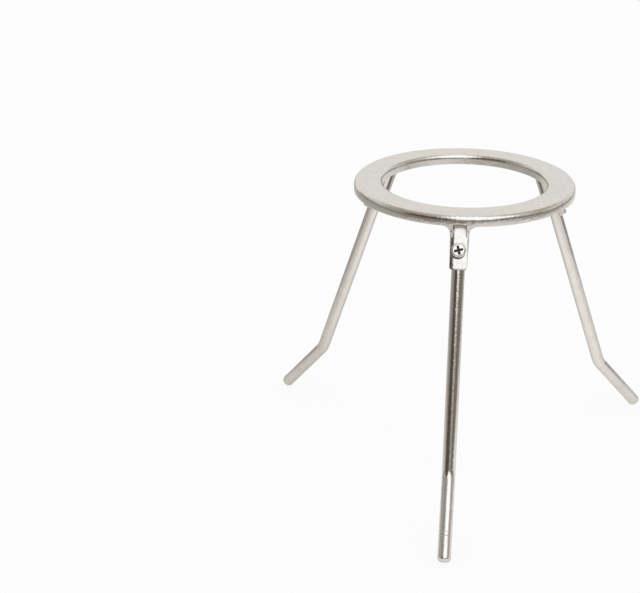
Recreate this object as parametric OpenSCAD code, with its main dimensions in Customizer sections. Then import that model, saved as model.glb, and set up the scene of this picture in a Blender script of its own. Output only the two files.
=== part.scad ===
// Laboratory tripod stand: a ring pressed from sheet with three channel tabs, three bent rod
// legs, and one cross-recess screw that holds each leg in its tab.
// The origin is on the bench, under the middle of the ring. +Z is up and one leg points to -Y.

/* [Ring] */
// Outer diameter of the ring
ring_d = 140; // [125:1:200]
// Diameter of the opening in the ring
opening_d = 104.2; // [60:0.1:106]
// Thickness of the sheet that the ring and its tabs are pressed from
sheet = 1.2; // [0.8:0.1:1.5]
// Depth of the turned-down rim, from the top face
rim_h = 6.7; // [6:0.1:10]
// Depth of the turned-down collar round the opening, from the top face
collar_h = 6.7; // [4:0.1:7]
// Outside radius of the bend between the top face and the rim
rim_bend_r = 3.4; // [1.6:0.1:3.5]
// Outside radius of the bend between the top face and the collar
collar_bend_r = 2.9; // [1.6:0.1:3]
// Radius of the broken edges along the rim and the collar
edge_r = 0.3; // [0.1:0.05:0.35]

/* [Tabs] */
// How far a tab's face is set in from the rim, at the rim's lower edge
tab_set_in = 4.3; // [3.5:0.1:5]
// Height above the rim's lower edge at which a tab starts to step inwards
step_start_h = 1.3; // [0.5:0.1:2]
// Angle of that step from the vertical
step_angle = 45; // [30:1:60]
// Length of a tab, down its slope from the rim's lower edge
tab_len = 27; // [24:0.5:34]
// Extra width of a tab at the ring, over its width at the free end
tab_flare = 1.2; // [0:0.1:3]
// Depth of a tab's side walls beside the ring, from its face
wall_deep = 9.8; // [8:0.1:10]
// Depth of a tab's side walls at the free end, from its face
wall_shallow = 4.4; // [3:0.1:6]
// Length of the deep part of the side walls, down the slope
wall_deep_len = 13; // [8:0.5:18]
// Outside radius of the bends between a tab's face and its side walls
tab_bend_r = 1.7; // [1.6:0.1:2.4]
// Radius of the corners at a tab's free end
tab_corner_r = 1.6; // [0.5:0.1:2.5]
// Radius of the shoulders where a tab leaves the rim
shoulder_r = 4.8; // [1:0.1:6]
// Width of the ridges that run down from the rim beside a tab's face
ridge_w = 1.8; // [1.6:0.1:2.4]
// Length of those ridges, down the slope
ridge_len = 8; // [6:0.5:10]

/* [Legs] */
// Overall height of the stand
stand_h = 190.5; // [150:0.5:260]
// Diameter of the rod that the legs are bent from
rod_d = 8; // [6:0.1:9]
// Angle of the upper leg from the vertical
splay = 20.4; // [19:0.05:24]
// Angle of the foot from the vertical
foot_angle = 41.6; // [30:0.1:60]
// Length of the foot along its middle line, from the corner of the bend
foot_len = 52.3; // [35:0.1:80]
// Radius of the bend, to the middle of the rod
leg_bend_r = 16; // [10:0.5:40]
// Radius of the rounded edge at the end of the foot
foot_edge_r = 2.4; // [0.5:0.1:2.8]
// Chamfer round the upper end of a leg
leg_chamfer = 0.6; // [0.2:0.1:1.5]

/* [Screws] */
// Distance of a screw down its tab, from the rim's lower edge
screw_down = 15.2; // [13:0.1:18]
// Diameter of the head
head_d = 8.7; // [7:0.1:9.5]
// Height of the head and its neck above the tab
head_h = 7.2; // [6:0.1:9]
// Diameter of the neck
neck_d = 6.2; // [5.5:0.1:6.8]
// Length of the straight part of the neck
neck_h = 1.6; // [0.5:0.1:2.5]
// Radius of the rounded rim of the head
head_edge_r = 1.1; // [0.5:0.1:1.5]
// Rise of the crown in the middle of the head
crown_h = 0.6; // [0.2:0.1:1]
// Diameter of the shank
shank_d = 4; // [3:0.1:5]
// How far the tip of the shank stops short of the leg's far side
tip_short = 0.8; // [0.2:0.1:3]
// Width across the cross recess
recess_w = 5.9; // [3:0.1:6]
// Width of an arm of the recess
recess_arm = 1.6; // [0.8:0.1:2]
// Depth of the recess
recess_depth = 2.6; // [1:0.1:3]

/* [Fits] */
// Clearance between a leg and the inside faces of its tab
rod_fit = 0.05; // [0:0.01:0.2]
// Clearance between a leg's upper end and the underside of the ring
leg_top_gap = 0.4; // [0.1:0.1:2]
// Radial clearance between a shank and the hole in the tab
tab_hole_fit = 0.25; // [0.1:0.05:0.5]
// Radial clearance between a shank and the hole in the leg
thread_fit = 0.05; // [0.02:0.01:0.1]

/* [Hidden] */
$fn = 96;

stations = 3;                   // legs round the ring
recess_turns = [15, 52, 78];    // how far round each screw stopped when it was driven
over = 1;                       // how far a cutting shape runs past what it cuts
tuck = 0.2;                     // how far a shoulder is tucked into the side of its tab
foot_step = 0.005;              // how much the foot is thinner than the bend it joins, on the radius
ring_tone = [0.82, 0.80, 0.77];
leg_tone = [0.76, 0.74, 0.71];
screw_tone = [0.86, 0.85, 0.82];

ring_r = ring_d / 2;
opening_r = opening_d / 2;
rod_r = rod_d / 2;
rim_low = stand_h - rim_h;
blank_low = rim_low - shoulder_r - over;
underside = stand_h - sheet;

// A tab's own frame: x is out of its face, z is up its slope, and its origin is on the face at
// the height of the rim's lower edge.
face_r = ring_r - tab_set_in;
tab_end_w = rod_d + 2 * (rod_fit + sheet);
tab_top_w = tab_end_w + tab_flare;
flare_angle = atan(tab_flare / 2 / tab_len);
axis_in = sheet + rod_fit + rod_r;
function in_slope(x, z) = [
    (x - face_r) * cos(splay) + (z - rim_low) * sin(splay),
    (z - rim_low) * cos(splay) - (x - face_r) * sin(splay)
];

// The step from the rim to a tab's face, as radius and height: where it starts on the outside
// and on the inside of the sheet, its direction, and where it has passed through the face.
step_out = [ring_r, rim_low + step_start_h];
step_in = [ring_r - sheet, step_out[1] + sheet * tan(step_angle / 2)];
step_run = 2 * tab_set_in / sin(step_angle);
step_way = -step_run * [sin(step_angle), cos(step_angle)];
step_bend_r = 1.2 * sheet;

// Where the ridges leave the rim: just inside its surface, out at a tab's side.
side_r = sqrt(pow(ring_r, 2) - pow(tab_top_w / 2, 2));
ridge_top = in_slope(side_r - edge_r, rim_low);
ridge_lean = atan2(ridge_top[0], ridge_top[1] + ridge_len);
tab_top = in_slope(ring_r, step_out[1]);
tab_sweep = asin((tab_top_w / 2 + shoulder_r) / ring_r);

// A length to a hundredth, so that the straight and bent parts of a rod meet face to face.
function neat(length) = round(length * 100) / 100;

// The foot's end has a rounded edge, whose lowest point stands on the bench.
foot_r = rod_r - foot_step;
foot_end_z = (foot_r - foot_edge_r) * sin(foot_angle) + foot_edge_r * (1 - cos(foot_angle));
bend_z = foot_end_z + foot_len * cos(foot_angle);
bend_angle = foot_angle - splay;
bend_run = neat(leg_bend_r * tan(bend_angle / 2));
leg_down = neat((rim_low - axis_in * sin(splay) - bend_z) / cos(splay));
leg_up = neat((underside - leg_top_gap - rim_low + (axis_in - rod_r) * sin(splay)) / cos(splay));

// The corner between two directions from a point, up to the circle that rounds it. Taken away,
// it rounds a convex corner. Added, it fills a concave one. It reaches a little past the point.
module corner(p, from, to, r) {
    half = (to - from) / 2;
    run = r / tan(half);
    middle = [cos(from + half), sin(from + half)];
    centre = p + r / sin(half) * middle;
    difference() {
        polygon([
            p - 0.1 * r * middle,
            p + run * [cos(from), sin(from)],
            centre,
            p + run * [cos(to), sin(to)]
        ]);
        translate(centre) circle(r);
    }
}

// Turns what is drawn for a leg that points along +X to one of the stations.
module at_station(i) {
    rotate([0, 0, -90 + 360 / stations * i]) children();
}

// Puts what is drawn in a tab's own frame in its place, for a leg that points along +X.
module in_tab() {
    translate([face_r, 0, rim_low]) rotate([0, -splay, 0]) children();
}

// Extrudes a side view, drawn as out and up, to a width across the leg.
module across(width) {
    rotate([90, 0, 0]) translate([0, 0, -width / 2]) linear_extrude(width) children();
}

// Revolves a section, drawn as radius and height, round the stretch of the rim at a tab.
module round_tab() {
    rotate_extrude(angle = 2 * tab_sweep, start = -tab_sweep) children();
}

// Half section of the ring before its rim is trimmed, drawn as radius and height. The rim
// is deeper than the shoulders all the way round.
module blank_section() {
    difference() {
        union() {
            translate([opening_r, underside]) square([ring_r - opening_r, sheet]);
            translate([ring_r - sheet, blank_low]) square([sheet, stand_h - blank_low]);
            translate([opening_r, stand_h - collar_h]) square([sheet, collar_h]);
        }
        corner([ring_r, stand_h], 180, 270, rim_bend_r);
        corner([opening_r, stand_h], 270, 360, collar_bend_r);
        corner([opening_r, stand_h - collar_h], 0, 90, edge_r);
        corner([opening_r + sheet, stand_h - collar_h], 90, 180, edge_r);
    }
    corner([ring_r - sheet, underside], 180, 270, rim_bend_r - sheet);
    corner([opening_r + sheet, underside], 270, 360, collar_bend_r - sheet);
}

// One shoulder, across the leg and up: it leads the rim's lower edge into the side of a tab.
module shoulder_section() {
    side = tab_top_w / 2;
    centre = [side - tuck + shoulder_r, rim_low - shoulder_r];
    difference() {
        polygon([
            [side - ridge_w, stand_h],
            [side - ridge_w, rim_low],
            [side, centre[1]],
            [centre[0], centre[1]],
            [centre[0], stand_h]
        ]);
        translate(centre) circle(shoulder_r);
    }
}

// What is trimmed off the blank's rim, all round but for the shoulders. It breaks the edges.
module rim_trimming() {
    difference() {
        rotate_extrude() {
            translate([ring_r - sheet - over, blank_low - over])
                square([sheet + 2 * over, rim_low - blank_low + over]);
            corner([ring_r - sheet, rim_low], 0, 90, edge_r);
            corner([ring_r, rim_low], 90, 180, edge_r);
        }
        for (i = [0 : stations - 1], side = [0, 1])
            at_station(i) mirror([0, side, 0])
                rotate([90, 0, 90]) linear_extrude(ring_d) shoulder_section();
    }
}

// What the step clears out of the rim, over the width of a tab's face.
module step_clearance() {
    intersection() {
        round_tab() {
            polygon([
                step_out,
                step_in - [0, sheet / 2],
                [step_in[0] - over, step_in[1] - sheet / 2],
                [step_in[0] - over, blank_low - over],
                [ring_r + over, blank_low - over],
                [ring_r + over, step_out[1]]
            ]);
            corner(step_out, 90, 270 - step_angle, step_bend_r);
        }
        translate([0, 0, stand_h / 2])
            cube([3 * ring_r, tab_top_w - 2 * ridge_w, stand_h], center = true);
    }
}

// The step itself: sheet bent in from the rim, as far as the back of the tab's face.
module step() {
    intersection() {
        round_tab() difference() {
            polygon([step_out, step_out + step_way, step_in + step_way, step_in]);
            corner(step_out, 90, 270 - step_angle, step_bend_r);
        }
        translate([0, 0, stand_h / 2])
            cube([3 * ring_r, tab_top_w - ridge_w, stand_h], center = true);
        in_tab() translate([-sheet, -ring_r, -tab_len]) cube([ring_r, ring_d, 2 * tab_len]);
    }
}

// What the step's inside clears out of a channel, between its side walls.
module step_room() {
    intersection() {
        round_tab()
            polygon([
                step_in,
                step_in + step_way,
                [step_in[0] + step_way[0], stand_h],
                [step_in[0], stand_h]
            ]);
        translate([0, 0, stand_h / 2])
            cube([3 * ring_r, tab_end_w - 2 * sheet, stand_h], center = true);
    }
}

// The frame of one side of a tab: its origin is at the free end and it leans out by the flare.
module on_side(side) {
    mirror([0, side > 0 ? 0 : 1, 0])
        translate([0, tab_end_w / 2, -tab_len])
            rotate([-flare_angle, 0, 0])
                children();
}

// One side of a channel across the slope, from its side wall to past the middle of its face.
module channel_section() {
    difference() {
        translate([-wall_deep, -tab_end_w]) square([wall_deep, tab_end_w]);
        translate([-wall_deep - over, -tab_end_w - over])
            square([wall_deep + over - sheet, tab_end_w + over - sheet]);
        corner([0, 0], 180, 270, tab_bend_r);
    }
    corner([-sheet, -sheet], 180, 270, tab_bend_r - sheet);
}

// A ridge across its run: rounded to the side, and broken where it drops to the face.
module ridge_section() {
    difference() {
        translate([-tab_set_in, -ridge_w]) square([tab_set_in, ridge_w]);
        corner([0, 0], 180, 270, tab_bend_r - edge_r);
        corner([0, -ridge_w], 90, 180, edge_r);
    }
}

// The channel and its ridges, in a tab's own frame. The side walls are deep beside the ring
// and shallow at the free end.
module channel() {
    intersection() {
        for (side = [-1, 1])
            on_side(side)
                translate([0, 0, -over]) linear_extrude(2 * tab_len) channel_section();
        across(ring_d)
            polygon([
                tab_top,
                [-wall_deep, wall_deep * tan(splay)],
                [-wall_deep, -wall_deep_len],
                [-wall_shallow, -tab_len],
                [tab_top[0], -tab_len]
            ]);
    }
    intersection() {
        for (side = [-1, 1])
            on_side(side)
                translate([0, 0, tab_len - ridge_len]) rotate([0, ridge_lean, 0])
                    translate([0, 0, -ridge_len]) linear_extrude(3 * ridge_len) ridge_section();
        across(ring_d)
            polygon([
                tab_top,
                [-sheet, tab_top[1]],
                [-sheet, -tab_len],
                [tab_top[0], -tab_len]
            ]);
    }
}

// One tab, for a leg that points along +X.
module tab() {
    difference() {
        in_tab() channel();
        step_room();
        in_tab() {
            for (side = [-1, 1])
                mirror([0, side > 0 ? 0 : 1, 0])
                    rotate([90, 0, 90]) translate([0, 0, -wall_deep - over])
                        linear_extrude(2 * wall_deep)
                            corner([tab_end_w / 2, -tab_len], 90 - flare_angle, 180, tab_corner_r);
            translate([-sheet - over, 0, -screw_down]) rotate([0, 90, 0])
                cylinder(d = shank_d + 2 * tab_hole_fit, h = sheet + 2 * over);
        }
    }
    step();
}

module ring() {
    color(ring_tone) {
        difference() {
            rotate_extrude() blank_section();
            rim_trimming();
            for (i = [0 : stations - 1])
                at_station(i) step_clearance();
        }
        for (i = [0 : stations - 1]) at_station(i) tab();
    }
}

// Half section of the upper rod, with its chamfered end, from the bend up.
module upper_section(low) {
    polygon([
        [0, low],
        [rod_r, low],
        [rod_r, leg_up - leg_chamfer],
        [rod_r - leg_chamfer, leg_up],
        [0, leg_up]
    ]);
}

// Half section of the foot, from its rounded end up to the bend.
module foot_section() {
    difference() {
        square([foot_r, foot_len - bend_run]);
        corner([foot_r, 0], 90, 180, foot_edge_r);
    }
}

// The bend, round its own centre. It is swept a little too far, then trimmed square to the foot.
module leg_bend() {
    difference() {
        rotate([90, 0, 0]) rotate_extrude(angle = bend_angle + 10, start = 180)
            translate([leg_bend_r, 0]) circle(rod_r);
        rotate([0, -bend_angle, 0]) translate([-2 * leg_bend_r, -rod_d, -leg_bend_r])
            cube([2 * leg_bend_r, 2 * rod_d, leg_bend_r]);
    }
}

// A leg in its tab: the upper rod, the bend and the foot, with the hole for its screw.
module leg(i) {
    bend_low = bend_run - leg_down;
    color(leg_tone)
        at_station(i) in_tab() translate([-axis_in, 0, 0])
            difference() {
                union() {
                    rotate_extrude() upper_section(bend_low);
                    translate([leg_bend_r, 0, bend_low]) {
                        leg_bend();
                        rotate([0, -bend_angle, 0])
                            translate([-leg_bend_r, 0, bend_run - foot_len])
                                rotate_extrude() foot_section();
                    }
                }
                translate([-rod_r - over, 0, -screw_down]) rotate([0, 90, 0])
                    cylinder(d = shank_d + 2 * thread_fit, h = rod_d + 2 * over);
            }
}

// Half section of a screw, drawn as radius and height above the tab.
module screw_section() {
    neck_r = neck_d / 2;
    head_r = head_d / 2;
    flare_r = head_h - crown_h - head_edge_r - neck_h;
    crown_r = (pow(head_r, 2) + pow(crown_h, 2)) / (2 * crown_h);
    tip = -(sheet + rod_fit + rod_d - tip_short);
    translate([0, tip]) square([shank_d / 2, -tip]);
    square([neck_r, head_h - crown_h]);
    difference() {
        translate([0, neck_h]) square([head_r, head_h - crown_h - neck_h]);
        translate([neck_r + flare_r, neck_h]) circle(flare_r);
        corner([head_r, head_h - crown_h], 180, 270, head_edge_r);
    }
    intersection() {
        translate([0, head_h - crown_r]) circle(crown_r);
        translate([0, head_h - crown_h]) square([head_r - head_edge_r, crown_h]);
    }
}

module screw(i) {
    color(screw_tone)
        at_station(i) in_tab() translate([0, 0, -screw_down]) rotate([0, 90, 0])
            difference() {
                rotate_extrude() screw_section();
                rotate([0, 0, recess_turns[i]]) cross_recess();
            }
}

// The cross recess: four arms that taper to the bottom.
module cross_recess() {
    recess_foot = 1.5 * recess_arm;
    intersection() {
        for (turn = [0, 90])
            rotate([0, 0, turn]) translate([0, 0, head_h])
                cube([recess_w, recess_arm, 2 * recess_depth], center = true);
        translate([0, 0, head_h - recess_depth])
            cylinder(d1 = recess_foot, d2 = 2 * recess_w - recess_foot, h = 2 * recess_depth);
    }
}

ring();
leg(0);  // leg_front
leg(1);  // leg_right
leg(2);  // leg_left
screw(0);  // screw_front
screw(1);  // screw_right
screw(2);  // screw_left
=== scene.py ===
# %% [markdown]
# # Lab tripod stand
# The stand is a ring pressed from sheet metal, three bent rod legs and three cross-recess
# screws. The seven pieces come in already made, as a frame that nothing here moves. What is
# left to do is what the eye reads as metal: how rough each surface is, how its polish wavers,
# where shade is painted in, and what stands round it to be mirrored.

# %% Bring in the frame
import math

import bpy
from mathutils import Matrix, Vector


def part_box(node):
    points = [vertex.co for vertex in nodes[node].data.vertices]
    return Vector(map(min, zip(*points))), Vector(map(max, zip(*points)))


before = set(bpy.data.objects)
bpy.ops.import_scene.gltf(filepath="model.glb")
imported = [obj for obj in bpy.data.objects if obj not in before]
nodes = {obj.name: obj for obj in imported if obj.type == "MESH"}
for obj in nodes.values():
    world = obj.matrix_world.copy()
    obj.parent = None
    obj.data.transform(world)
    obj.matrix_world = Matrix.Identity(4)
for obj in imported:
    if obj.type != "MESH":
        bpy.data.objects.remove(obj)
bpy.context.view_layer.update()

print("pieces:", ", ".join(sorted(nodes)))

# %% [markdown]
# ## The camera
# The view looks slightly down at the stand, with one leg coming forward and the other two
# going back to either side. A long lens keeps the legs from spreading too much. A camera in
# Blender looks along its own -Z with +Y up. It could be aimed with a constraint, but a matrix
# built from three directions, right, up and backwards, also sets its slight roll.

# %% Aim the camera
EYE = Vector((0.0177254, -0.8264293, 0.4614098))
RIGHT = Vector((0.99141422, 0.13068535, -0.00438007)).normalized()
FORWARD = Vector((-0.12185588, 0.91124546, -0.39342453)).normalized()
UP = RIGHT.cross(FORWARD).normalized()
LENS_MM, SENSOR_MM, NEAREST = 76.324, 36.0, 0.01


def make_camera():
    data = bpy.data.cameras.new("camera")
    data.lens = LENS_MM
    data.sensor_width = SENSOR_MM
    data.sensor_fit = "HORIZONTAL"
    data.clip_start = NEAREST
    camera = bpy.data.objects.new("camera", data)
    turn = Matrix((RIGHT, UP, -FORWARD)).transposed()
    camera.matrix_world = Matrix.Translation(EYE) @ turn.to_4x4()
    bpy.context.scene.collection.objects.link(camera)
    bpy.context.scene.camera = camera


make_camera()
print("lens", LENS_MM, "mm, eye", [round(v, 3) for v in EYE])

# %% [markdown]
# ## Helpers for node trees
# A material or a world is a graph of nodes. Writing each node on one line keeps the graphs
# readable: the helper adds a node, sets its plain properties, and plugs in its inputs, each
# of which is either a plain value or another node's output.

# %% One-line nodes


class Graph:
    """A node tree with short ways to add maths, noise and ramps."""

    def __init__(self, tree):
        self.tree = tree
        tree.nodes.clear()

    def add(self, kind, inputs=None, **settings):
        node = self.tree.nodes.new(kind)
        for name, value in settings.items():
            setattr(node, name, value)
        for key, value in (inputs or {}).items():
            self.plug(node.inputs[key], value)
        return node

    def plug(self, socket, value):
        if isinstance(value, bpy.types.NodeSocket):
            self.tree.links.new(value, socket)
        else:
            socket.default_value = value

    def maths(self, operation, a, b=0.0, clamp=False):
        node = self.add("ShaderNodeMath", {0: a, 1: b}, operation=operation, use_clamp=clamp)
        return node.outputs[0]

    def span(self, value, low, high, to_low=0.0, to_high=1.0, smooth=False):
        """Move a value from the range low..high to to_low..to_high, and stop at its ends."""
        node = self.add(
            "ShaderNodeMapRange",
            {0: value, 1: low, 2: high, 3: to_low, 4: to_high},
            interpolation_type="SMOOTHSTEP" if smooth else "LINEAR",
        )
        return node.outputs[0]

    def noise(self, place, scale, detail=2.0, rough=0.5):
        node = self.add(
            "ShaderNodeTexNoise",
            {"Vector": place, "Scale": scale, "Detail": detail, "Roughness": rough},
        )
        return node.outputs["Fac"]

    def mix(self, share, a, b):
        node = self.add("ShaderNodeMix", data_type="RGBA")
        self.plug(node.inputs[0], share)
        self.plug(node.inputs[6], a)
        self.plug(node.inputs[7], b)
        return node.outputs[2]


print("graph helper ready")

# %% [markdown]
# ## What the metal mirrors
# Polished metal has hardly any look of its own: it shows what stands round it. A product
# studio is a pale tent with gaps in it, and every dark line down a bright rod is one of those
# gaps. Lit planes could stand round the stand, but they would get in the way of other views.
# So the world is drawn by direction, as a table of soft-edged cards. It is no plan of a real
# studio: each card stands where a line on the metal asks for it, and its name only helps to
# find it. Turn is counted in degrees from the side the front leg points to, and grows to the
# right. Rise is counted from the horizon up. Later cards lie over earlier ones. Dim cards are
# browner than bright ones, as in a real room, where lamps are white and walls are not.

# %% The cards of the studio
WHITE = (1, 0.995, 0.985)
CREAM = (1, 0.97, 0.92)
TAN = (1, 0.87, 0.74)
BROWN = (1, 0.84, 0.70)
LAMP = (1, 1.035, 1.08)
TENT = 1.0
CARDS = {
    "front of the tent": dict(turn=(-128, 140), rise=(-95, 95), soft=24, tone=0.80, tint=WHITE),
    "beam over the left wall": dict(turn=(-125, -38), rise=(40, 84), soft=14, tone=0.58, tint=TAN),
    "beam over the right wall": dict(turn=(90, 132), rise=(28, 84), soft=12, tone=0.55, tint=TAN),
    "gap over the left wall": dict(turn=(-90, -24), rise=(18, 52), soft=8, tone=0.40, tint=CREAM),
    "left wall": dict(turn=(-130, -58), rise=(-12, 13), soft=8, tone=0.34, tint=CREAM),
    "lamp from above": dict(turn=(-19, 67), rise=(34, 84), soft=6, tone=1.45, tint=LAMP),
    "sill past the doorway": dict(turn=(84, 124), rise=(-14, 5), soft=7, tone=0.42, tint=CREAM),
    "doorway on the right": dict(turn=(28, 92), rise=(-15, 20), soft=7, tone=0.22, tint=BROWN),
    "high right wall": dict(turn=(60, 94), rise=(9, 34), soft=8, tone=0.50, tint=CREAM),
    "dark room on the left": dict(turn=(-60, -4), rise=(-12, 33), soft=7, tone=0.11, tint=BROWN),
    "curtain": dict(turn=(4, 33), rise=(-12, 22), soft=6, tone=0.38, tint=CREAM),
    "strip lamp": dict(turn=(-10, 36), rise=(18, 42), soft=4, tone=1.45, tint=LAMP),
}


def toned(tone, tint):
    return (tone * tint[0], tone * tint[1], tone * tint[2], 1.0)


print(len(CARDS), "cards over a tent of", TENT)

# %% [markdown]
# A card is a window in turn and rise. Rays that mirror off the metal see the cards. Rays that
# leave a matt surface see an even, nearly white light, and the camera sees plain white.

# %% Paint the world from the table
PLAIN_WHITE = (1.0, 1.0, 1.0, 1.0)
EVEN_LIGHT = toned(0.9, WHITE)
DEGREES = 180.0 / math.pi


def window(g, value, low, high, soft):
    """1 between low and high, 0 outside, with an edge that is soft degrees wide."""
    middle = (low + high) / 2
    half = (high - low) / 2
    aside = g.maths("ABSOLUTE", g.maths("SUBTRACT", value, middle))
    return g.span(aside, half + soft / 2, half - soft / 2, smooth=True)


def studio_world():
    world = bpy.data.worlds.new("studio")
    bpy.context.scene.world = world
    world.use_nodes = True
    g = Graph(world.node_tree)
    way = g.add("ShaderNodeTexCoord").outputs["Generated"]
    part = g.add("ShaderNodeSeparateXYZ", {0: way}).outputs
    turn = g.maths("ARCTAN2", part[0], g.maths("MULTIPLY", part[1], -1.0))
    turn = g.maths("MULTIPLY", turn, DEGREES)
    rise = g.maths("MULTIPLY", g.maths("ARCSINE", part[2]), DEGREES)
    seen = toned(TENT, WHITE)
    for card in CARDS.values():
        here = g.maths("MULTIPLY", window(g, turn, *card["turn"], card["soft"]),
                       window(g, rise, *card["rise"], card["soft"]))
        seen = g.mix(here, seen, toned(card["tone"], card["tint"]))
    path = g.add("ShaderNodeLightPath").outputs
    seen = g.mix(path["Is Diffuse Ray"], seen, EVEN_LIGHT)
    seen = g.mix(path["Is Camera Ray"], seen, PLAIN_WHITE)
    back = g.add("ShaderNodeBackground", {"Color": seen, "Strength": 1.0})
    g.add("ShaderNodeOutputWorld", {"Surface": back.outputs[0]})


studio_world()
print("world painted")

# %% [markdown]
# ## The bench
# The bench is plain white and keeps only a faint shadow of the stand. A surface that gives
# off its own light stays white whatever falls on it. A matt one holds a shadow, but turns
# grey. So to the camera and to the metal the bench is mostly the first kind, with a small
# share of the second.
#
# The metal mirrors the bench too. What it mirrors is a white sheet in a pool of light:
# brightest round the stand, dimmer further out and to the left, and ending at a front and a
# right edge, past which it is darker. The camera sees none of these tones, only white.

# %% The tones of the bench
BENCH_HALF = 3.0
SHADOW_SHARE = 0.12
MATT_WHITE = (0.9, 0.9, 0.9, 1.0)
POOL_MIDDLE, POOL_SQUASH, POOL_EDGES = (0.08, -0.06, 0.0), (0.6, 1.0, 1.0), (0.04, 0.18)
POOL_TONE = toned(1.16, WHITE)
LEFT_TO_RIGHT, LEFT_TONE, RIGHT_TONE = (-0.25, 0.20), toned(0.76, CREAM), toned(0.92, WHITE)
FAR_LEFT_EDGE, FAR_LEFT_TONE = (-0.55, -0.25), toned(0.44, CREAM)
RIGHT_EDGE, PAST_RIGHT_TONE = (0.52, 0.70), toned(0.32, CREAM)
FRONT_EDGE, EDGE_SLANT, PAST_EDGE_TONE = (-0.59, -0.71), 0.4, toned(0.20, BROWN)


def mirrored_sheet(g, place):
    """The bench's tone as the metal mirrors it."""
    part = g.add("ShaderNodeSeparateXYZ", {0: place}).outputs
    across, away = part[0], part[1]
    off = g.add("ShaderNodeVectorMath", {0: place, 1: POOL_MIDDLE}, operation="SUBTRACT")
    off = g.add("ShaderNodeVectorMath", {0: off.outputs[0], 1: POOL_SQUASH},
                operation="MULTIPLY")
    far = g.add("ShaderNodeVectorMath", {0: off.outputs[0]}, operation="LENGTH")
    sheet = g.mix(g.span(across, *LEFT_TO_RIGHT, smooth=True), LEFT_TONE, RIGHT_TONE)
    sheet = g.mix(g.span(across, *FAR_LEFT_EDGE, smooth=True), FAR_LEFT_TONE, sheet)
    sheet = g.mix(g.span(far.outputs["Value"], *POOL_EDGES, smooth=True), POOL_TONE, sheet)
    sheet = g.mix(g.span(across, *RIGHT_EDGE, smooth=True), sheet, PAST_RIGHT_TONE)
    slanted = g.maths("ADD", away, g.maths("MULTIPLY", across, EDGE_SLANT))
    return g.mix(g.span(slanted, *FRONT_EDGE, smooth=True), sheet, PAST_EDGE_TONE)


print("pool of light at", POOL_MIDDLE[:2], "m")

# %% Lay the bench


def bench_paint():
    paint = bpy.data.materials.new("bench_white")
    paint.use_nodes = True
    g = Graph(paint.node_tree)
    path = g.add("ShaderNodeLightPath").outputs
    place = g.add("ShaderNodeTexCoord").outputs["Object"]
    seen = g.mix(path["Is Glossy Ray"], PLAIN_WHITE, mirrored_sheet(g, place))
    matt = g.add("ShaderNodeBsdfDiffuse", {"Color": MATT_WHITE}).outputs[0]
    glow = g.add("ShaderNodeEmission", {"Color": seen}).outputs[0]
    straight = g.maths("MAXIMUM", path["Is Camera Ray"], path["Is Glossy Ray"])
    share = g.maths("MULTIPLY", straight, 1.0 - SHADOW_SHARE)
    both = g.add("ShaderNodeMixShader", {0: share, 1: matt, 2: glow}).outputs[0]
    g.add("ShaderNodeOutputMaterial", {"Surface": both})
    return paint


def lay_bench():
    h = BENCH_HALF
    mesh = bpy.data.meshes.new("bench")
    mesh.from_pydata([(-h, -h, 0), (h, -h, 0), (h, h, 0), (-h, h, 0)], [], [(0, 1, 2, 3)])
    mesh.materials.append(bench_paint())
    bench = bpy.data.objects.new("bench", mesh)
    bpy.context.scene.collection.objects.link(bench)


lay_bench()
print("bench", 2 * BENCH_HALF, "m square, shadow share", SHADOW_SHARE)

# %% [markdown]
# ## Metals
# All seven pieces look plated, and are taken to be nickel: fully metallic but where shade
# is painted in, and a little warmer than silver. What sets them apart is polish and what the
# making did to the skin. An image could give the mottling, but noise has no seams and fits
# any shape. Each pattern is read from the piece's own coordinates, in metres, so a noise of
# scale 1000 has cells of about 1 mm. The bump's height is in metres too, which keeps the
# relief at its real size.

# %% A metal from a few numbers
# The dark tone below is painted shade. It is laid matt wherever a shade mask is high.
SHADE_COLOUR = (0.125, 0.105, 0.088, 1.0)
SCUFFED = 0.6
CLOUD_EDGES = (0.34, 0.66)
POLISH_SCALE, POLISH_EDGES = 2.3, (0.3, 0.7)


def plating(name, light, dark, mottle, polish, peel, lift, dim,
            relief=None, shade_mask=None, scuff=None):
    """light, dark: the two tones; mottle: noise scale between them; polish: lowest and
    highest roughness; peel: scale of the orange peel; lift: its height in metres; dim: how
    bright a grazing look stays; relief: adds its own height; shade_mask: where shade is
    painted in, dark and matt; scuff: where the polish is dull."""
    paint = bpy.data.materials.new(name)
    paint.use_nodes = True
    g = Graph(paint.node_tree)
    place = g.add("ShaderNodeTexCoord").outputs["Object"]
    cloud = g.noise(place, mottle, detail=3.0, rough=0.6)
    tone = g.mix(g.span(cloud, *CLOUD_EDGES), dark, light)
    rough = g.span(g.noise(place, mottle * POLISH_SCALE), *POLISH_EDGES, *polish)
    metal_share = 1.0
    # Painted shade: where the mask is high, the tone turns dark and the metal turns matt and
    # rough.
    if shade_mask:
        painted_shade = shade_mask(g, place)
        tone = g.mix(painted_shade, tone, SHADE_COLOUR)
        metal_share = g.maths("SUBTRACT", 1.0, painted_shade)
        rough = g.maths("MAXIMUM", rough, g.maths("MULTIPLY", painted_shade, SCUFFED))
    if scuff:
        rough = g.maths("MAXIMUM", rough, g.maths("MULTIPLY", scuff(g, place), SCUFFED))
    height = g.maths("MULTIPLY", g.noise(place, peel, rough=0.45), lift)
    if relief:
        height = relief(g, place, height)
    bump = g.add("ShaderNodeBump", {"Strength": 1.0, "Distance": 1.0, "Height": height})
    skin = g.add(
        "ShaderNodeBsdfPrincipled",
        {"Base Color": tone, "Metallic": metal_share, "Roughness": rough,
         "Specular Tint": (dim, dim, dim, 1.0), "Normal": bump.outputs["Normal"]},
    )
    g.add("ShaderNodeOutputMaterial", {"Surface": skin.outputs[0]})
    return paint


# Prints the tone and roughness of the painted shade.
print("grime tone", SHADE_COLOUR[:3], "and roughness", SCUFFED)

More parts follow.
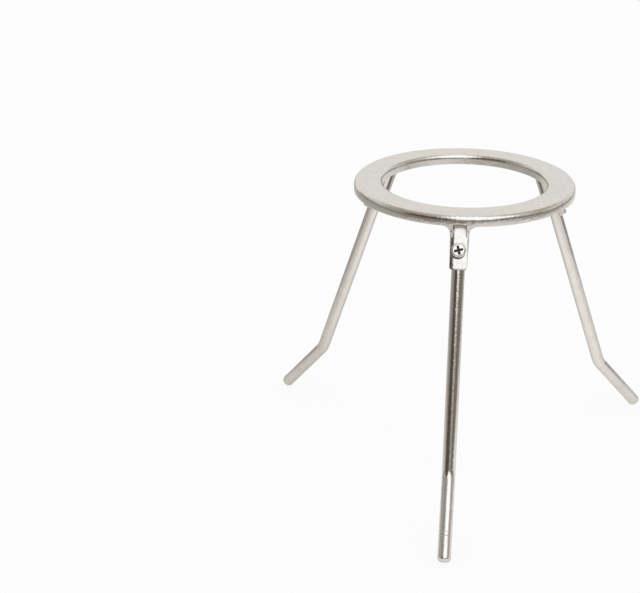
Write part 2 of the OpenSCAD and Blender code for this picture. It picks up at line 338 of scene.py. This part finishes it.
# %% [markdown]
# ## One pattern for three stations
# The tabs and the screws repeat three times round the ring. Instead of three patterns there
# is one: the angle round the middle is folded into a third of a turn, so that every station
# reads the same place. The fold gives the way along the ring and the way up the slope of the
# tab, both zero where the screw goes in, and passes on the radius and the height above the
# bench.

# %% Fold the stations together
SLOPE = math.radians(20.4)
SCREW_OUT, SCREW_Z = 0.07100, 0.16955
THIRD = 2 * math.pi / 3


def station(g, place):
    part = g.add("ShaderNodeSeparateXYZ", {0: place}).outputs
    flat = g.add("ShaderNodeCombineXYZ", {0: part[0], 1: part[1], 2: 0.0}).outputs[0]
    radius = g.add("ShaderNodeVectorMath", {0: flat}, operation="LENGTH").outputs["Value"]
    angle = g.maths("ARCTAN2", part[0], g.maths("MULTIPLY", part[1], -1.0))
    angle = g.add("ShaderNodeMath", {0: angle, 1: THIRD / 2, 2: -THIRD / 2}, operation="WRAP")
    along = g.maths("MULTIPLY", radius, g.maths("SINE", angle.outputs[0]))
    out = g.maths("MULTIPLY", radius, g.maths("COSINE", angle.outputs[0]))
    out = g.maths("SUBTRACT", out, SCREW_OUT)
    up = g.maths("SUBTRACT", part[2], SCREW_Z)
    slope_up = g.maths("SUBTRACT", g.maths("MULTIPLY", up, math.cos(SLOPE)),
                       g.maths("MULTIPLY", out, math.sin(SLOPE)))
    return {"along": along, "slope_up": slope_up, "radius": radius, "height": part[2]}


print("stations fold every 120 degrees, slope", round(math.degrees(SLOPE), 1))

# %% [markdown]
# ## The pressed ring
# Pressing a ring from sheet stretches the metal where it bends, and stretched metal roughens
# into orange peel. So the rim and the collar are pebbled, and the flat top and the tabs stay
# nearly smooth.
#
# Three more shapes are in the bump, because the frame's meshes stay as they are. The first is
# the rim's wall, which is barrelled by 0.06 mm, so that it mirrors a dark line above a light
# one.

# %% The rim and its bends
ring_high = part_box("ring")[1]
RING_R, RING_TOP = ring_high[0], ring_high[2]
RIM_H, OPENING_R, BEND_R = 0.0067, 0.0521, 0.0034
RIM_LOW = RING_TOP - RIM_H
EDGE = 0.0004
COLLAR_END, COLLAR_SHARE, FLAT_SHARE = 0.6, 0.6, 0.16
BARREL = 0.00006


def rim_mask(g, at):
    above = g.span(at["height"], RIM_LOW - EDGE, RIM_LOW + EDGE)
    rim = g.span(at["radius"], RING_R - BEND_R - EDGE, RING_R - BEND_R + 1.5 * EDGE)
    return g.maths("MULTIPLY", rim, above)


def pebbled(g, at, rim, peel):
    collar = g.span(at["radius"], OPENING_R + BEND_R, OPENING_R + COLLAR_END * BEND_R)
    bent = g.maths("MAXIMUM", rim, g.maths("MULTIPLY", collar, COLLAR_SHARE))
    return g.maths("MULTIPLY", peel, g.span(bent, 0.0, 1.0, FLAT_SHARE, 1.0))


def barrelled(g, at, rim):
    wall_middle = RING_TOP - (RIM_H + BEND_R) / 2
    wall_half = (RIM_H - BEND_R) / 2
    off = g.maths("DIVIDE", g.maths("SUBTRACT", at["height"], wall_middle), wall_half)
    bow = g.maths("SUBTRACT", 1.0, g.maths("POWER", off, 2.0), clamp=True)
    return g.maths("MULTIPLY", g.maths("MULTIPLY", bow, BARREL), rim)


print("ring radius", round(1000 * RING_R, 1), "mm, top at", round(1000 * RING_TOP, 1), "mm")

# %% [markdown]
# The second is a tab's face. Its edges are drawn back, up to 0.65 mm and 23 degrees steep, so
# that it mirrors the dark room along its left side. The left edge wavers a little, but only
# on the face: on the channel's side wall the waver would show as blotches. The third is a
# lean of the whole face by 2 degrees. These sizes are chosen for what the metal then mirrors.
# They are not measured.

# %% The face of a tab
FACE_LEFT, FACE_RIGHT, TURNS_WITHIN = 0.0027, 0.0032, 0.0030
FACE_END, DRAWN_BACK, FACE_LEAN, TAB_TOP = -0.0107, 72.0, 0.04, 0.0122
WAVE_SCALE, WAVE_MIDDLE, WAVES, WAVES_FADE = 300.0, 0.45, 0.0018, (-0.0048, -0.0038)
BELOW_RIM = (0.0005, 0.0030)


def waver(g, place, at):
    waves = g.maths("SUBTRACT", g.noise(place, WAVE_SCALE, detail=1.0), WAVE_MIDDLE)
    waves = g.maths("MULTIPLY", waves, WAVES)
    return g.maths("MULTIPLY", waves, g.span(at["along"], *WAVES_FADE))


def drawn_back(g, place, at):
    left = g.maths("SUBTRACT", g.maths("MULTIPLY", at["along"], -1.0), FACE_LEFT)
    left = g.maths("ADD", left, waver(g, place, at))
    right = g.maths("SUBTRACT", at["along"], FACE_RIGHT)
    under = g.maths("SUBTRACT", FACE_END, at["slope_up"])
    back = 0.0
    for past in (left, right, under):
        past = g.maths("MINIMUM", g.maths("MAXIMUM", past, 0.0), TURNS_WITHIN)
        back = g.maths("ADD", back, g.maths("POWER", past, 2.0))
    on_tab = g.span(at["height"], RIM_LOW - BELOW_RIM[0], RIM_LOW - BELOW_RIM[1])
    back = g.maths("MULTIPLY", back, g.maths("MULTIPLY", DRAWN_BACK, on_tab))
    lean = g.maths("MULTIPLY", g.maths("MINIMUM", at["slope_up"], TAB_TOP), FACE_LEAN)
    return g.maths("ADD", back, lean)


def ring_relief(g, place, peel):
    at = station(g, place)
    rim = rim_mask(g, at)
    whole = g.maths("ADD", pebbled(g, at, rim, peel), barrelled(g, at, rim))
    return g.maths("SUBTRACT", whole, drawn_back(g, place, at))


print("tab's edges drawn back up to", round(1000 * DRAWN_BACK * TURNS_WITHIN ** 2, 2), "mm")

# %% [markdown]
# Shade is painted into corners: into the cross of each head and where a tab leaves the rim.
# It could be painted on by hand, but Ambient Occlusion finds such corners by itself, because
# it is low where a surface is hemmed in by others. Under each head a dark crescent of painted
# shade is drawn: a disc a little larger than the head, set a little down and to the left, of
# which the head hides the most. All three heads have the same one.

# %% Painted shade in the corners and under the heads
# The crescent is painted shade under each screw head, on the face of its tab.
CRESCENT, CRESCENT_R, CRESCENT_SOFT = (-0.0007, -0.0009), 0.0046, 0.0004
NEAR_THE_FACE = (-0.0045, -0.0035)
CORNER_REACH, CORNER_SAMPLES = 0.003, 6
CORNER_SHADE = 0.7


def corner_shade(g, shut, clear):
    """1 where Ambient Occlusion is at or under shut, 0 where it is at or over clear."""
    corner = g.add("ShaderNodeAmbientOcclusion", {"Distance": CORNER_REACH},
                   samples=CORNER_SAMPLES)
    return g.span(corner.outputs["AO"], clear, shut, smooth=True)


# The ring's painted shade: dark in hemmed-in corners, and a dark crescent under each head.
def ring_shade(g, place):
    at = station(g, place)
    x = g.maths("SUBTRACT", at["along"], CRESCENT[0])
    y = g.maths("SUBTRACT", at["slope_up"], CRESCENT[1])
    apart = g.maths("SQRT", g.maths("ADD", g.maths("POWER", x, 2.0), g.maths("POWER", y, 2.0)))
    disc = g.span(apart, CRESCENT_R + CRESCENT_SOFT, CRESCENT_R - CRESCENT_SOFT, smooth=True)
    face = g.span(at["radius"], SCREW_OUT + NEAR_THE_FACE[0], SCREW_OUT + NEAR_THE_FACE[1])
    corners = g.maths("MULTIPLY", corner_shade(g, shut=0.30, clear=0.75), CORNER_SHADE)
    return g.maths("MAXIMUM", corners, g.maths("MULTIPLY", disc, face))


# The screw's painted shade: dark in the cross of each head, where Ambient Occlusion is low.
def screw_shade(g, place):
    return corner_shade(g, shut=0.78, clear=0.97)


ring_metal = plating("pressed_ring", light=(0.72, 0.69, 0.65, 1), dark=(0.665, 0.63, 0.585, 1),
                     mottle=300.0, polish=(0.13, 0.22), peel=670.0, lift=0.00012, dim=0.90,
                     relief=ring_relief, shade_mask=ring_shade)
print("crescent of", round(1000 * CRESCENT_R, 1), "mm under each head")

# %% [markdown]
# ## The rods
# The legs are bent from bright drawn rod, so they mirror more sharply than the ring. The
# front foot has two fine marks, close together and square to the rod, as a bending tool
# leaves them. They could be cut into the rod, but they are taken to be only 0.04 mm deep, so
# each is a groove in the bump and a dull line in the polish, both read from the distance up
# the foot from its end.

# %% Marks on the front foot
FOOT_END, UP_THE_FOOT = (0.0, -0.14781, 0.00221), (0.0, 0.66388, 0.74783)
MARKS = ((0.0147, 0.00042), (0.0170, 0.00030))
MARK_DEPTH, MARK_CORE = 0.00004, 0.3


def mark_lines(g, place):
    off = g.add("ShaderNodeVectorMath", {0: place, 1: FOOT_END}, operation="SUBTRACT")
    along = g.add("ShaderNodeVectorMath", {0: off.outputs[0], 1: UP_THE_FOOT},
                  operation="DOT_PRODUCT").outputs["Value"]
    lines = 0.0
    for where, half in MARKS:
        aside = g.maths("ABSOLUTE", g.maths("SUBTRACT", along, where))
        lines = g.maths("MAXIMUM", lines, g.span(aside, half, MARK_CORE * half))
    return lines


def marked_relief(g, place, peel):
    return g.maths("SUBTRACT", peel, g.maths("MULTIPLY", mark_lines(g, place), MARK_DEPTH))


ROD = dict(light=(0.73, 0.70, 0.66, 1), dark=(0.67, 0.63, 0.59, 1), mottle=200.0,
           polish=(0.10, 0.19), peel=670.0, lift=0.00007, dim=0.62)
rod_metal = plating("bright_rod", **ROD)
marked_rod = plating("bright_rod_marked", **ROD, relief=marked_relief, scuff=mark_lines)
print("marks at", [round(1000 * where, 1) for where, half in MARKS], "mm up the front foot")

# %% [markdown]
# ## The screws
# The screws are plated bright too. A pan head is nearly flat over its crown. The relief in
# the bump flattens it by up to 0.45 mm more at its edge, and turns it 6 degrees to the right
# and 3 degrees up, as a screw that was driven off square would be. The turn is chosen so
# that the front head mirrors the bright side, and the other two heads have the same one.

# %% Relief of a screw head
FLATTEN, LEAN, LIFT = 24.0, 0.10, 0.045


def head_relief(g, place, peel):
    at = station(g, place)
    dish = g.maths("ADD", g.maths("POWER", at["along"], 2.0),
                   g.maths("POWER", at["slope_up"], 2.0))
    whole = g.maths("ADD", peel, g.maths("MULTIPLY", dish, FLATTEN))
    whole = g.maths("SUBTRACT", whole, g.maths("MULTIPLY", at["along"], LEAN))
    return g.maths("SUBTRACT", whole, g.maths("MULTIPLY", at["slope_up"], LIFT))


screw_metal = plating("plated_screw", light=(0.80, 0.78, 0.75, 1), dark=(0.74, 0.71, 0.68, 1),
                      mottle=400.0, polish=(0.14, 0.24), peel=900.0, lift=0.00003, dim=0.85,
                      relief=head_relief, shade_mask=screw_shade)
print("metals:", ring_metal.name, rod_metal.name, marked_rod.name, screw_metal.name)

# %% [markdown]
# ## Metals on the pieces
# Each piece gets one metal over its whole skin, by its name. The front leg has a metal of its
# own, because it alone has the marks.

# %% Give each piece its metal
FINISH = {"ring": ring_metal, "leg": rod_metal, "screw": screw_metal, "leg_front": marked_rod}
for name, piece in nodes.items():
    piece.data.materials.clear()
    piece.data.materials.append(FINISH.get(name) or FINISH[name.split("_")[0]])
    print(name, "->", piece.data.materials[0].name)

# %% [markdown]
# ## Finish
# The colours are shown as they are, with no film curve.

# %% View transform
bpy.context.scene.view_settings.view_transform = "Standard"
